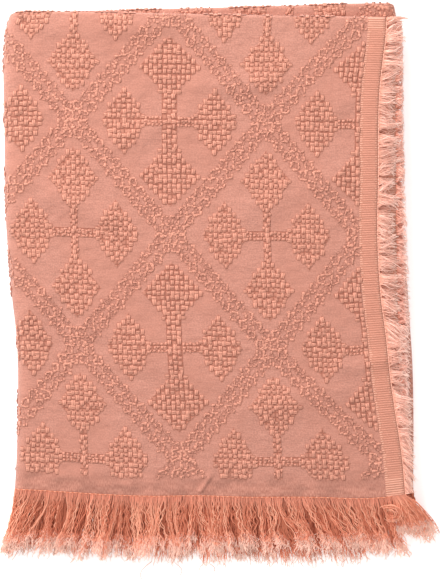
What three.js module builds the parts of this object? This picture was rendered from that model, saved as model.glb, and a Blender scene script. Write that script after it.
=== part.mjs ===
import * as THREE from 'three';

// A woven throw with fringes on all four edges, folded in four along its length and then
// in four across its width, and laid flat. Millimetres, +Z up, +Y towards the folded top.

// The cloth laid out flat.
const clothWidth = 1300;
const clothLength = 1620;
const sheetThickness = 1.15;
// Height from one layer's middle to the next one's.
const layerPitch = 1.5;
const layersInPack = 4;
const packPitch = layersInPack * layerPitch;
const midPack = 1.5 * layerPitch;

// The fold along the length: the middle of the two top folds, and how far above the two
// ends the fold between them stops.
const topFoldAt = 404.6;
const lowerFoldAt = 5;
// The fold across the width: how far the front and the inner selvedge lie from the middle
// of the left folds.
const frontSelvedgeAt = 302.4;
const innerSelvedgeAt = 319.2;

// The fringes: the strip their roots share, its distance from the cloth, and the locks.
const strip = { gap: 0.38, thickness: 1.0 };
const warpFringe = { stripWidth: 3, length: 49, perPanel: 16, rootShare: 0.6, tipShare: 0.3 };
const sideFringe = { stripWidth: 2, length: 14.5, perPanel: 12, rootShare: 0.5, tipShare: 0.25 };
const innerSideFringe = { ...sideFringe, length: 9 };
const tipThickness = 0.8;
const tipPitch = 1.3;
const tipHeight = 0.45;
const cornerClear = 9;
// Where every layer is divided, from the left folds and from the hem.
const divideAcross = [60, 120, 180, 240, 290];
const divideAlong = [5, 72, 140, 208, 276, 342];
const stepsInTurn = 5;
const stepsInWideTurn = 8;

const clothColour = 0xdc9a84;
const fringeColour = 0xc97b62;

// The leftmost place of the folds, the width over which they even out, and the height of
// the folded top above the hem.
const leftmost = -12;
const stackWidth = 330;
const stackLength = 407;
// Middle of the finished throw, measured from the left folds and the hem.
const centre = { x: 162.37, y: 181.59 };

// How the left edge leans with height above the hem, in mm.
const leftLean = [
  { y: 0, dx: 8.4 }, { y: 34, dx: 10.1 }, { y: 97, dx: 10.9 }, { y: 123, dx: 10.1 },
  { y: 148, dx: 7.6 }, { y: 173, dx: 4.6 }, { y: 198, dx: 3.0 }, { y: 223, dx: 0.9 },
  { y: 260, dx: 0 }, { y: 324, dx: -0.8 }, { y: 362, dx: -1.5 }, { y: 387, dx: 0 },
  { y: 400, dx: 1.9 }, { y: 408, dx: 4.2 },
];
// How the right edges lean: the front selvedge, the inner selvedge and the fold below.
const rightLean = [
  { y: 0, front: 22.9, inner: 4.6, fold: 11.6 },
  { y: 22, front: 21.6, inner: 4.2, fold: 11.8 },
  { y: 47, front: 17.8, inner: 3.8, fold: 11.9 },
  { y: 71, front: 14.1, inner: 3.2, fold: 11.8 },
  { y: 106, front: 9.4, inner: 2.4, fold: 10.9 },
  { y: 135, front: 6.6, inner: 1.9, fold: 9.0 },
  { y: 165, front: 2.7, inner: 1.4, fold: 7.0 },
  { y: 198, front: 0.2, inner: 0.8, fold: 4.4 },
  { y: 232, front: -0.6, inner: 0.2, fold: 2.6 },
  { y: 265, front: 0, inner: 0, fold: 0.6 },
  { y: 307, front: 0.1, inner: -0.2, fold: -0.7 },
  { y: 341, front: 1.0, inner: -0.4, fold: -0.9 },
  { y: 366, front: 3.4, inner: -0.4, fold: -1.2 },
  { y: 391, front: 6.4, inner: -0.6, fold: -2.2 },
  { y: 408, front: 6.8, inner: -1.0, fold: -4.8 },
];
// How the top folds rise from left to right, in front and behind.
const topRise = [
  { x: -12, front: -1.6, behind: -1.2 }, { x: 4, front: 0, behind: 0 },
  { x: 94, front: -1.3, behind: 2.5 }, { x: 195, front: -3.3, behind: 5.0 },
  { x: 307, front: -5.0, behind: 8.3 }, { x: 323, front: -5.2, behind: 7.6 },
];
// The same for the hems.
const hemRise = [
  { x: -12, front: 6.0, behind: 6.0 }, { x: 4, front: 5.4, behind: 5.4 },
  { x: 35, front: 3.4, behind: 3.6 }, { x: 69, front: 1.3, behind: 2.4 },
  { x: 102, front: 0.2, behind: 1.6 },
  { x: 142, front: 0.6, behind: 1.6 }, { x: 178, front: -0.6, behind: 2.0 },
  { x: 237, front: -0.8, behind: 3.0 }, { x: 268, front: -2.0, behind: 4.0 },
  { x: 296, front: 0.4, behind: 5.0 }, { x: 323, front: 4.6, behind: 6.0 },
];
// How far the tips of the warp fringe fan out sideways.
const fan = [
  { x: -12, front: -11, behind: -8 }, { x: 30, front: -7, behind: -5 },
  { x: 80, front: -2, behind: -1 }, { x: 180, front: 1, behind: 2 },
  { x: 260, front: 2, behind: 8 }, { x: 323, front: 7, behind: 17 },
];
// Soft swells over the whole stack: share of the height, wave lengths and offsets.
const swells = [
  { share: 0.018, alongX: 410, alongY: 620, offset: 0.7 },
  { share: 0.011, alongX: -330, alongY: 390, offset: 2.9 },
];
const foldSwell = { share: 0.05, reach: 26 };
// The layers that carry a warp fringe, from the floor up.
const fringedLayers = [0, 1, 6, 7, 8, 9, 14, 15];
// How the inner side fringe sinks past the fold below it.
const sideDroop = { depth: 1.1, from: 8, reach: 8 };

const clamp = (value, low, high) => Math.min(high, Math.max(low, value));

const ease = (value) => {
  const share = clamp(value, 0, 1);
  return share * share * (3 - 2 * share);
};

// Reads a column of a table at a place between its rows, without corners.
function readTable(rows, key, at, column) {
  const place = clamp(at, rows[0][key], rows[rows.length - 1][key]);
  let index = 0;
  while (index < rows.length - 2 && place > rows[index + 1][key]) index += 1;
  const from = rows[index];
  const to = rows[index + 1];
  const span = to[key] - from[key];
  const before = rows[Math.max(0, index - 1)];
  const after = rows[Math.min(rows.length - 1, index + 2)];
  const slopeFrom = (to[column] - before[column]) / (to[key] - before[key]);
  const slopeTo = (after[column] - from[column]) / (after[key] - from[key]);
  const share = (place - from[key]) / span;
  const squared = share * share;
  const cubed = squared * share;
  return (2 * cubed - 3 * squared + 1) * from[column]
    + (cubed - 2 * squared + share) * span * slopeFrom
    + (3 * squared - 2 * cubed) * to[column]
    + (cubed - squared) * span * slopeTo;
}

// The runs of each fold path. A turn has a radius and a side: +1 turns left, -1 right.
const straightArcs = (clothWidth - frontSelvedgeAt - innerSelvedgeAt
  - Math.PI * 2.5 * packPitch) / 2;
const widthPath = {
  start: { along: innerSelvedgeAt, height: 2 * packPitch + midPack, heading: Math.PI },
  runs: [
    { length: innerSelvedgeAt },
    { radius: packPitch / 2, side: 1 },
    { length: straightArcs },
    { radius: packPitch / 2, side: -1 },
    { length: straightArcs },
    { radius: 1.5 * packPitch, side: -1 },
    { length: frontSelvedgeAt },
  ],
};
const lengthPath = {
  start: { along: 0, height: 0, heading: 0 },
  runs: [
    { length: topFoldAt },
    { radius: midPack, side: 1 },
    { length: topFoldAt - lowerFoldAt },
    { radius: layerPitch / 2, side: 1 },
    { length: topFoldAt - lowerFoldAt },
    { radius: layerPitch / 2, side: -1 },
    { length: topFoldAt },
  ],
};

const runLength = (run) => run.length ?? Math.PI * run.radius;

// The place and heading on a fold path after a length of cloth. Both ends carry on straight.
function walk(path, distance) {
  let { along, height, heading } = path.start;
  let left = distance;
  for (const [index, run] of path.runs.entries()) {
    const last = index === path.runs.length - 1;
    const step = last ? left : Math.min(left, runLength(run));
    if (run.radius === undefined) {
      along += step * Math.cos(heading);
      height += step * Math.sin(heading);
    } else {
      const turned = heading + run.side * step / run.radius;
      along += run.side * run.radius * (Math.sin(turned) - Math.sin(heading));
      height -= run.side * run.radius * (Math.cos(turned) - Math.cos(heading));
      heading = turned;
    }
    left -= step;
    if (left <= 0) break;
  }
  return { along, height, heading };
}

// The order of a level among the layers that carry a warp fringe.
function fringeRank(level) {
  const last = fringedLayers.length - 1;
  for (let rank = 0; rank < last; rank += 1) {
    const from = fringedLayers[rank];
    const to = fringedLayers[rank + 1];
    if (level <= to) return rank + (level - from) / (to - from);
  }
  return last + level - fringedLayers[last];
}

// Brings a place in the neat stack to where the soft, uneven stack has it.
function settle(x, y, height) {
  const level = height / layerPitch;
  const column = level > 7.5 ? 'front' : 'behind';
  const across = ease((x - leftmost) / stackWidth);
  const toInner = ease(level - 7);
  const toFront = ease(level - 11);
  const fold = readTable(rightLean, 'y', y, 'fold');
  const inner = readTable(rightLean, 'y', y, 'inner');
  const front = readTable(rightLean, 'y', y, 'front');
  const right = fold + (inner - fold) * toInner + (front - inner) * toFront;
  const left = readTable(leftLean, 'y', y, 'dx');
  const top = readTable(topRise, 'x', x, column);
  const hem = readTable(hemRise, 'x', x, column);
  const beyond = clamp(-y / warpFringe.length, 0, 1.2);
  const fanned = readTable(fan, 'x', x, column) * beyond * Math.sqrt(beyond);
  const settledX = x + left + (right - left) * across + fanned;
  const settledY = y + hem + (top - hem) * clamp(y / stackLength, 0, 1);

  let swell = foldSwell.share * (1 - ease((x - leftmost) / foldSwell.reach));
  for (const wave of swells) {
    const phase = settledX / wave.alongX + settledY / wave.alongY;
    swell += wave.share * Math.sin(2 * Math.PI * phase + wave.offset);
  }
  let lifted = height * (1 + swell);
  const past = ease((x - innerSelvedgeAt - sideDroop.from) / sideDroop.reach);
  lifted -= sideDroop.depth * past * toInner * (1 - toFront);
  const rested = fringeRank(level) * tipPitch + tipHeight - sheetThickness / 2;
  lifted += (rested - lifted) * ease(0.15 + beyond) * ease(beyond * 3);
  return new THREE.Vector3(settledX, settledY, lifted + sheetThickness / 2);
}

// The middle of the folded sheet at a place of the flat cloth.
function middle(u, v) {
  const lengthwise = walk(lengthPath, v);
  const crosswise = walk(widthPath, u);
  const offset = lengthwise.height - midPack;
  const x = crosswise.along + offset * Math.sin(crosswise.heading);
  const height = crosswise.height - offset * Math.cos(crosswise.heading);
  return settle(x, lengthwise.along, height);
}

// A place off the middle, on the face that is up in the front pack when the lift is positive.
function place(u, v, lift) {
  const step = 0.02;
  const base = middle(u, v);
  const alongU = middle(u + step, v).sub(middle(u - step, v));
  const alongV = middle(u, v + step).sub(middle(u, v - step));
  return base.addScaledVector(alongU.cross(alongV).normalize(), lift);
}

// Stations along a fold path: the shared divisions on the straight runs, and steps in turns.
function stations(path, divisions, total) {
  const list = [0];
  let reached = 0;
  for (const run of path.runs) {
    const length = runLength(run);
    if (run.radius === undefined) {
      const from = walk(path, reached + 0.001).along;
      const way = Math.sign(walk(path, reached + 1).along - from);
      const distances = divisions.map((at) => (at - from) * way);
      distances.sort((one, other) => one - other);
      for (const distance of distances) {
        if (distance > 1 && distance < length - 1) list.push(reached + distance);
      }
      list.push(reached + length);
    } else {
      const steps = run.radius > 5 ? stepsInWideTurn : stepsInTurn;
      for (let step = 1; step <= steps; step += 1) list.push(reached + length * step / steps);
    }
    reached += length;
  }
  list[list.length - 1] = total;
  return list;
}

// Collects the corners and faces of one closed body.
class Body {
  constructor() {
    this.points = [];
    this.faces = [];
  }

  add(point) {
    this.points.push(point.x - centre.x, point.y - centre.y, point.z);
    return this.points.length / 3 - 1;
  }

  quad(a, b, c, d) {
    this.faces.push(a, b, c, a, c, d);
  }

  mesh(name, colour) {
    const geometry = new THREE.BufferGeometry();
    geometry.setAttribute('position', new THREE.Float32BufferAttribute(this.points, 3));
    geometry.setIndex(this.faces);
    geometry.computeVertexNormals();
    const material = new THREE.MeshStandardMaterial({ color: colour, roughness: 0.95 });
    const mesh = new THREE.Mesh(geometry, material);
    mesh.name = name;
    return mesh;
  }
}

const columns = stations(widthPath, divideAcross, clothWidth);
const rows = stations(lengthPath, divideAlong, clothLength);
// The side fringes stop a little short of the corners.
const sideRows = rows.map((v) => clamp(v, 1, clothLength - 1));

function makeCloth() {
  const body = new Body();
  const face = (lift) => rows.map((v) => columns.map((u) => body.add(place(u, v, lift))));
  const upper = face(sheetThickness / 2);
  const lower = face(-sheetThickness / 2);
  const lastRow = rows.length - 1;
  const lastColumn = columns.length - 1;
  for (let row = 0; row < lastRow; row += 1) {
    for (let col = 0; col < lastColumn; col += 1) {
      body.quad(upper[row][col], upper[row][col + 1], upper[row + 1][col + 1], upper[row + 1][col]);
      body.quad(lower[row][col], lower[row + 1][col], lower[row + 1][col + 1], lower[row][col + 1]);
    }
    body.quad(upper[row][0], upper[row + 1][0], lower[row + 1][0], lower[row][0]);
    body.quad(upper[row][lastColumn], lower[row][lastColumn],
      lower[row + 1][lastColumn], upper[row + 1][lastColumn]);
  }
  for (let col = 0; col < lastColumn; col += 1) {
    body.quad(upper[0][col], lower[0][col], lower[0][col + 1], upper[0][col + 1]);
    body.quad(upper[lastRow][col], upper[lastRow][col + 1],
      lower[lastRow][col + 1], lower[lastRow][col]);
  }
  return body.mesh('cloth', clothColour);
}

// A small offset that differs from lock to lock.
const uneven = (index, salt) => Math.sin(index * 12.99 + salt * 7.31);

// A fringe: a strip along one edge of the cloth with locks standing out from it.
// The edge gives the place of the flat cloth at a distance along and out from it.
function makeFringe(name, path, marks, size, edge, upSide, sections) {
  const body = new Body();
  const half = strip.thickness / 2;
  const inside = strip.gap;
  const outside = strip.gap + size.stripWidth;
  const locks = [];
  let reached = 0;
  for (const [index, run] of path.runs.entries()) {
    const length = runLength(run);
    if (run.radius === undefined) {
      const first = index === 0 ? cornerClear : 3;
      const last = index === path.runs.length - 1 ? cornerClear : 3;
      const spacing = (length - first - last) / size.perPanel;
      for (let lock = 0; lock < size.perPanel; lock += 1) {
        const wide = spacing * size.rootShare / 2;
        const shift = 0.06 * spacing * uneven(locks.length, 1);
        const free = reached + first + (lock + 0.5) * spacing + shift;
        // A root keeps off the bends of the cloth's edge.
        const bend = marks.find((mark) => Math.abs(mark - free) < wide + 0.5) ?? free - 2 * wide;
        const at = bend + Math.sign(free - bend) * Math.max(wide + 0.5, Math.abs(free - bend));
        locks.push({ at, spacing, wide, number: locks.length });
      }
    }
    reached += length;
  }
  const cells = [];
  for (const lock of locks) {
    cells.push({ at: lock.at - lock.wide }, { at: lock.at + lock.wide, lock });
  }
  for (const at of marks) cells.push({ at });
  cells.sort((one, other) => one.at - other.at);

  // The fringe keeps to the flat facets of the cloth's edge between two stations.
  const corner = (at, out, lift) => {
    let index = 1;
    while (index < marks.length - 1 && at > marks[index]) index += 1;
    const share = (at - marks[index - 1]) / (marks[index] - marks[index - 1]);
    const from = place(...edge(marks[index - 1], out), upSide * lift);
    return body.add(from.lerp(place(...edge(marks[index], out), upSide * lift), share));
  };
  const ring = (at, out, lift) => [corner(at, out, lift), corner(at, out, -lift)];
  const rims = cells.map(({ at }) => [...ring(at, inside, half), ...ring(at, outside, half)]);
  for (let index = 1; index < cells.length; index += 1) {
    const [topIn, lowIn, topOut, lowOut] = rims[index - 1];
    const [nextTopIn, nextLowIn, nextTopOut, nextLowOut] = rims[index];
    body.quad(topIn, topOut, nextTopOut, nextTopIn);
    body.quad(lowIn, nextLowIn, nextLowOut, lowOut);
    body.quad(topIn, nextTopIn, nextLowIn, lowIn);
    const { lock } = cells[index];
    if (!lock) {
      body.quad(topOut, lowOut, nextLowOut, nextTopOut);
      continue;
    }
    const reach = size.length * (1 + 0.05 * uneven(lock.number, 2));
    const drift = 0.16 * lock.spacing * uneven(lock.number, 3);
    let last = [topOut, nextTopOut, nextLowOut, lowOut];
    for (const share of sections) {
      const out = outside + (reach - outside) * share;
      const wide = lock.spacing / 2
        * (size.rootShare + (size.tipShare - size.rootShare) * share);
      const thick = half + (tipThickness / 2 - half) * share;
      const at = lock.at + drift * share * share;
      const next = [
        corner(at - wide, out, thick), corner(at + wide, out, thick),
        corner(at + wide, out, -thick), corner(at - wide, out, -thick),
      ];
      for (let side = 0; side < 4; side += 1) {
        const other = (side + 1) % 4;
        body.quad(last[side], next[side], next[other], last[other]);
      }
      last = next;
    }
    body.quad(last[0], last[3], last[2], last[1]);
  }
  const first = rims[0];
  const end = rims[rims.length - 1];
  body.quad(first[0], first[1], first[3], first[2]);
  body.quad(end[0], end[2], end[3], end[1]);
  return body.mesh(name, fringeColour);
}

const warpSections = [0.3, 0.65, 1];
const sideSections = [0.5, 1];
const foldedThrow = new THREE.Group();
foldedThrow.name = 'folded_throw';
foldedThrow.add(
  makeCloth(),
  makeFringe('warp_fringe_first', widthPath, columns, warpFringe,
    (at, out) => [at, -out], 1, warpSections),
  makeFringe('warp_fringe_last', widthPath, columns, warpFringe,
    (at, out) => [at, clothLength + out], -1, warpSections),
  makeFringe('side_fringe_inner', lengthPath, sideRows, innerSideFringe,
    (at, out) => [-out, at], -1, sideSections),
  makeFringe('side_fringe_front', lengthPath, sideRows, sideFringe,
    (at, out) => [clothWidth + out, at], 1, sideSections),
);

export default foldedThrow;
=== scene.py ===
import math
import bpy
import numpy as np
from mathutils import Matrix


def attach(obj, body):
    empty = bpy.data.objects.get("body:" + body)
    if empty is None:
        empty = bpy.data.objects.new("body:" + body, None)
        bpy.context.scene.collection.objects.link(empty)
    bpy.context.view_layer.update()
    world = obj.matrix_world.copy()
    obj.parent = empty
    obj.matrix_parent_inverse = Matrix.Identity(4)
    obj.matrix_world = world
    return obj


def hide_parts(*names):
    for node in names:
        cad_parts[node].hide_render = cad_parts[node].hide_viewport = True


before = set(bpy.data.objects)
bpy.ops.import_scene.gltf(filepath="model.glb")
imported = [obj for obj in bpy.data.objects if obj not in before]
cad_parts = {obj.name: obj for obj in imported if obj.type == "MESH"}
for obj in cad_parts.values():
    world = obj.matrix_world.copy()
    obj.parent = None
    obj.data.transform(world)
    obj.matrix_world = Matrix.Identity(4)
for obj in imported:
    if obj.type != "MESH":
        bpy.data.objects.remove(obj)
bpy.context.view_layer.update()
print("frame loaded")

mm = 0.001

# camera, first of all

cameraSetup = {
    "framedHeight": 0.4914,  # metres of the stack's top that fill the picture's height
    "lookAtX": 0.00725,
    "lookAtY": -0.0107,
    "distance": 2.4,
    "aboveFloor": 0.023,  # the top panel, from which the distance is measured
    "filmHeight": 36.0,
}


def makeCamera(setup):
    data = bpy.data.cameras.new("topCamera")
    data.sensor_fit = "VERTICAL"
    data.sensor_height = setup["filmHeight"]
    data.lens = setup["filmHeight"] * setup["distance"] / setup["framedHeight"]
    data.clip_end = 20
    camera = bpy.data.objects.new("topCamera", data)
    camera.location = (setup["lookAtX"], setup["lookAtY"], setup["distance"] + setup["aboveFloor"])
    bpy.context.scene.collection.objects.link(camera)
    bpy.context.scene.camera = camera


makeCamera(cameraSetup)

# the folded sheet as a map from the flat cloth, in mm

cloth = {
    "width": 1300.0,
    "length": 1620.0,
    "thickness": 1.15,
    "layerPitch": 1.5,
    "topFoldAt": 404.6,
    "lowerFoldAt": 5.0,
    "frontSelvedgeAt": 302.4,
    "innerSelvedgeAt": 319.2,
    "leftmost": -12.0,
    "stackLength": 407.0,
    "centreX": 162.37,
    "centreY": 181.59,
}
fringes = {
    "warpLength": 49.0,
    "sideLength": 14.5,
    "tipPitch": 1.3,
    "tipHeight": 0.45,
    "layers": [0, 1, 6, 7, 8, 9, 14, 15],
    "sideDroop": 1.1,
    "sideDroopFrom": 8.0,
    "sideDroopReach": 8.0,
}
# Sideways lean of the left edge, the pattern in the middle, and the three right edges.
lean = {
    "y": [0, 34, 72, 106, 135, 165, 198, 232, 265, 307, 341, 366, 391, 408],
    "left": [8.4, 10.1, 10.8, 10.8, 9.2, 5.7, 3.0, 0.6, 0, -0.5, -1.2, -1.4, 0.4, 4.2],
    "grain": [10.2, 9.3, 7.6, 5.5, 4.0, 2.9, 1.8, 0.8, 0.3, 0, 0, 0.2, 0.6, 1.0],
    "front": [22.9, 19.8, 14.1, 9.4, 6.6, 2.7, 0.2, -0.6, 0, 0.1, 1.0, 3.4, 6.4, 6.8],
    "inner": [4.6, 4.0, 3.2, 2.4, 1.9, 1.4, 0.8, 0.2, 0, -0.2, -0.4, -0.4, -0.6, -1.0],
    "fold": [11.6, 11.9, 11.8, 10.9, 9.0, 7.0, 4.4, 2.6, 0.6, -0.7, -0.9, -1.2, -2.2, -4.8],
}
topRise = {
    "x": [-12, 4, 94, 195, 307, 323],
    "front": [-1.6, 0, -1.3, -3.3, -5.0, -5.2],
    "behind": [-1.2, 0, 2.5, 5.0, 8.3, 7.6],
}
hemRise = {
    "x": [-12, 4, 35, 69, 102, 142, 178, 237, 268, 296, 323],
    "front": [6.0, 5.4, 3.4, 1.3, 0.2, 0.6, -0.6, -0.8, -2.0, 0.4, 4.6],
    "behind": [6.0, 5.4, 3.6, 2.4, 1.6, 1.6, 2.0, 3.0, 4.0, 5.0, 6.0],
}
fan = {
    "x": [-12, 30, 80, 180, 260, 323],
    "front": [-11, -7, -2, 1, 2, 7],
    "behind": [-8, -5, -1, 2, 8, 17],
}
# slow waves in the stack's height: share of it, length across and along, offset
swells = [(0.018, 410, 620, 0.7), (0.011, -330, 390, 2.9)]
foldSwell = {"share": 0.05, "reach": 26}
settling = {
    "leftReach": 70,  # mm over which the left edge's lean fades into that of the middle
    "rightFrom": 190,
    "rightReach": 112,
    # levels count the layers from the floor
    "frontPack": 7.5,
    "innerSelvedge": 7,
    "frontSelvedge": 11,
    "creaseFade": 4,
}


def ease(value):
    share = np.clip(value, 0, 1)
    return share * share * (3 - 2 * share)


def readTable(table, key, at, column):
    marks = np.array(table[key], float)
    values = np.array(table[column], float)
    at = np.clip(at, marks[0], marks[-1])
    index = np.clip(np.searchsorted(marks, at, side="left") - 1, 0, len(marks) - 2)
    before = np.maximum(index - 1, 0)
    after = np.minimum(index + 2, len(marks) - 1)
    span = marks[index + 1] - marks[index]
    slopeFrom = (values[index + 1] - values[before]) / (marks[index + 1] - marks[before])
    slopeTo = (values[after] - values[index]) / (marks[after] - marks[index])
    share = (at - marks[index]) / span
    squared = share * share
    cubed = squared * share
    return (
        (2 * cubed - 3 * squared + 1) * values[index]
        + (cubed - 2 * squared + share) * span * slopeFrom
        + (3 * squared - 2 * cubed) * values[index + 1]
        + (cubed - squared) * span * slopeTo
    )


def makePath(along, height, heading, runs):
    # each run is (length,) or (radius, side); a turn's side is +1 left, -1 right
    path = {"start": [], "along": [], "height": [], "heading": [], "radius": [], "side": []}
    reached = 0.0
    for run in runs:
        radius, side = run if len(run) == 2 else (0.0, 0)
        length = math.pi * radius if side else run[0]
        for key, value in zip(
            ("start", "along", "height", "heading", "radius", "side"),
            (reached, along, height, heading, radius, side),
        ):
            path[key].append(value)
        if side:
            turned = heading + side * math.pi
            along += side * radius * (math.sin(turned) - math.sin(heading))
            height -= side * radius * (math.cos(turned) - math.cos(heading))
            heading = turned
        else:
            along += length * math.cos(heading)
            height += length * math.sin(heading)
        reached += length
    return {key: np.array(value, float) for key, value in path.items()}


def walk(path, distance):
    index = np.searchsorted(path["start"], distance, side="right") - 1
    index = np.clip(index, 0, len(path["start"]) - 1)
    step = distance - path["start"][index]
    heading = path["heading"][index]
    radius = path["radius"][index]
    side = path["side"][index]
    turning = side != 0
    turned = heading + np.where(turning, side * step / np.where(turning, radius, 1), 0)
    across = side * radius * (np.sin(turned) - np.sin(heading))
    up = -side * radius * (np.cos(turned) - np.cos(heading))
    along = path["along"][index] + np.where(turning, across, step * np.cos(heading))
    height = path["height"][index] + np.where(turning, up, step * np.sin(heading))
    return along, height, turned


layerPitch = cloth["layerPitch"]
packPitch = 4 * layerPitch
midPack = 1.5 * layerPitch
turns = math.pi * 2.5 * packPitch
straight = (cloth["width"] - cloth["frontSelvedgeAt"] - cloth["innerSelvedgeAt"] - turns) / 2
widthPath = makePath(cloth["innerSelvedgeAt"], 2 * packPitch + midPack, math.pi, [
    (cloth["innerSelvedgeAt"],), (packPitch / 2, 1), (straight,), (packPitch / 2, -1),
    (straight,), (1.5 * packPitch, -1), (cloth["frontSelvedgeAt"],)])
frontU = cloth["width"] - cloth["frontSelvedgeAt"]  # u of the flat cloth where the top panel's x is 0
shortRun = cloth["topFoldAt"] - cloth["lowerFoldAt"]
lengthPath = makePath(0.0, 0.0, 0.0, [
    (cloth["topFoldAt"],), (midPack, 1), (shortRun,), (layerPitch / 2, 1),
    (shortRun,), (layerPitch / 2, -1), (cloth["topFoldAt"],)])

# Small creases of the front pack only, all raised: where, how long, how wide, how high.
creases = [
    {"x": 143.5, "y": 4.0, "toX": 151.0, "toY": 15.0, "width": 1.5, "height": 1.7},
    {"x": 138.0, "y": 14.0, "toX": 152.0, "toY": 17.0, "width": 2.4, "height": 0.7},
    {"x": 20.0, "y": 393.0, "toX": 120.0, "toY": 396.0, "width": 10.0, "height": 2.2},
    {"x": 154.0, "y": 346.0, "toX": 208.0, "toY": 350.0, "width": 9.0, "height": 2.3},
    {"x": 226.0, "y": 362.0, "toX": 268.0, "toY": 330.0, "width": 11.0, "height": 1.8},
    {"x": 30.0, "y": 250.0, "toX": 76.0, "toY": 232.0, "width": 9.0, "height": 2.2},
    {"x": 2.0, "y": 270.0, "toX": 20.0, "toY": 248.0, "width": 8.0, "height": 1.6},
    {"x": 20.0, "y": 196.0, "toX": 50.0, "toY": 142.0, "width": 12.0, "height": 2.0},
    {"x": 88.0, "y": 300.0, "toX": 140.0, "toY": 318.0, "width": 9.0, "height": 1.4},
    {"x": 262.0, "y": 110.0, "toX": 298.0, "toY": 114.0, "width": 6.5, "height": 1.8},
    {"x": 180.0, "y": 70.0, "toX": 262.0, "toY": 92.0, "width": 12.0, "height": 1.8},
    {"x": 100.0, "y": 122.0, "toX": 160.0, "toY": 96.0, "width": 12.0, "height": 1.4},
    {"x": 190.0, "y": 240.0, "toX": 270.0, "toY": 275.0, "width": 13.0, "height": 1.5},
    {"x": 20.0, "y": 12.0, "toX": 66.0, "toY": 18.0, "width": 6.0, "height": 1.0},
    {"x": 84.0, "y": 8.0, "toX": 90.0, "toY": 22.0, "width": 5.0, "height": 1.0},
    {"x": 188.0, "y": 6.0, "toX": 206.0, "toY": 22.0, "width": 6.0, "height": 1.0},
    {"x": 0.0, "y": 150.0, "toX": 22.0, "toY": 168.0, "width": 9.0, "height": 1.4},
]


def creaseLift(x, y):
    lift = np.zeros_like(x)
    for crease in creases:
        alongX, alongY = crease["toX"] - crease["x"], crease["toY"] - crease["y"]
        square = alongX * alongX + alongY * alongY
        share = ((x - crease["x"]) * alongX + (y - crease["y"]) * alongY) / square
        held = np.clip(share, 0, 1)
        away = np.hypot(x - crease["x"] - held * alongX, y - crease["y"] - held * alongY)
        lift += crease["height"] * np.exp(-(away / crease["width"]) ** 2)
    return lift


def settle(x, y, height):
    # lets a straight stack down to how it lies: lean, rise, fanned fringes, swells and creases
    level = height / layerPitch
    toInner = ease(level - settling["innerSelvedge"])
    toFront = ease(level - settling["frontSelvedge"])

    def ofPack(table):
        front, behind = readTable(table, "x", x, "front"), readTable(table, "x", x, "behind")
        return np.where(level > settling["frontPack"], front, behind)

    edges = {name: readTable(lean, "y", y, name) for name in ("left", "grain", "front", "inner", "fold")}
    right = edges["fold"] + (edges["inner"] - edges["fold"]) * toInner
    right = right + (edges["front"] - edges["inner"]) * toFront
    fromLeft = ease((x - cloth["leftmost"]) / settling["leftReach"])
    shift = edges["left"] + (edges["grain"] - edges["left"]) * fromLeft
    shift = shift + (right - shift) * ease((x - settling["rightFrom"]) / settling["rightReach"])
    top, hem = ofPack(topRise), ofPack(hemRise)
    beyond = np.clip(-y / fringes["warpLength"], 0, 1.3)
    settledX = x + shift + ofPack(fan) * beyond * np.sqrt(beyond)
    settledY = y + hem + (top - hem) * np.clip(y / cloth["stackLength"], 0, 1)
    swell = foldSwell["share"] * (1 - ease((x - cloth["leftmost"]) / foldSwell["reach"]))
    for share, alongX, alongY, offset in swells:
        swell = swell + share * np.sin(2 * math.pi * (settledX / alongX + settledY / alongY) + offset)
    lifted = height * (1 + swell)
    lifted = lifted + creaseLift(x, y) * ease((level - settling["frontSelvedge"]) / settling["creaseFade"])
    past = ease((x - cloth["innerSelvedgeAt"] - fringes["sideDroopFrom"]) / fringes["sideDroopReach"])
    lifted = lifted - fringes["sideDroop"] * past * toInner * (1 - toFront)
    # beyond the hem the fringes of the layers come to rest on each other
    marks = fringes["layers"]
    rank = np.interp(level, marks, range(len(marks))) + np.maximum(level - marks[-1], 0)
    rank = rank + np.minimum(level, 0)
    rested = rank * fringes["tipPitch"] + fringes["tipHeight"] - cloth["thickness"] / 2
    lifted = lifted + (rested - lifted) * ease(0.15 + beyond) * ease(beyond * 3)
    return np.stack([settledX, settledY, lifted + cloth["thickness"] / 2], axis=-1)


def middle(u, v):
    along, rise, _ = walk(lengthPath, v)
    across, height, heading = walk(widthPath, u)
    offset = rise - midPack
    return settle(across + offset * np.sin(heading), along, height - offset * np.cos(heading))


def onCloth(u, v, lift):
    # places in metres on the folded cloth, with the directions along u, along v and out
    u, v = np.asarray(u, float), np.asarray(v, float)
    step = 0.02
    alongU = middle(u + step, v) - middle(u - step, v)
    alongV = middle(u, v + step) - middle(u, v - step)
    out = np.cross(alongU, alongV)
    alongU /= np.linalg.norm(alongU, axis=-1, keepdims=True)
    alongV /= np.linalg.norm(alongV, axis=-1, keepdims=True)
    out /= np.linalg.norm(out, axis=-1, keepdims=True)
    points = middle(u, v) + out * np.asarray(lift, float)[..., None]
    points -= np.array([cloth["centreX"], cloth["centreY"], 0])
    return points * mm, alongU, alongV, out


# node helpers


def linearColour(red, green, blue):
    # from the usual 0 to 255 values
    channel = [c / 255 for c in (red, green, blue)]
    return [c / 12.92 if c <= 0.04045 else ((c + 0.055) / 1.055) ** 2.4 for c in channel] + [1.0]


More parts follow.
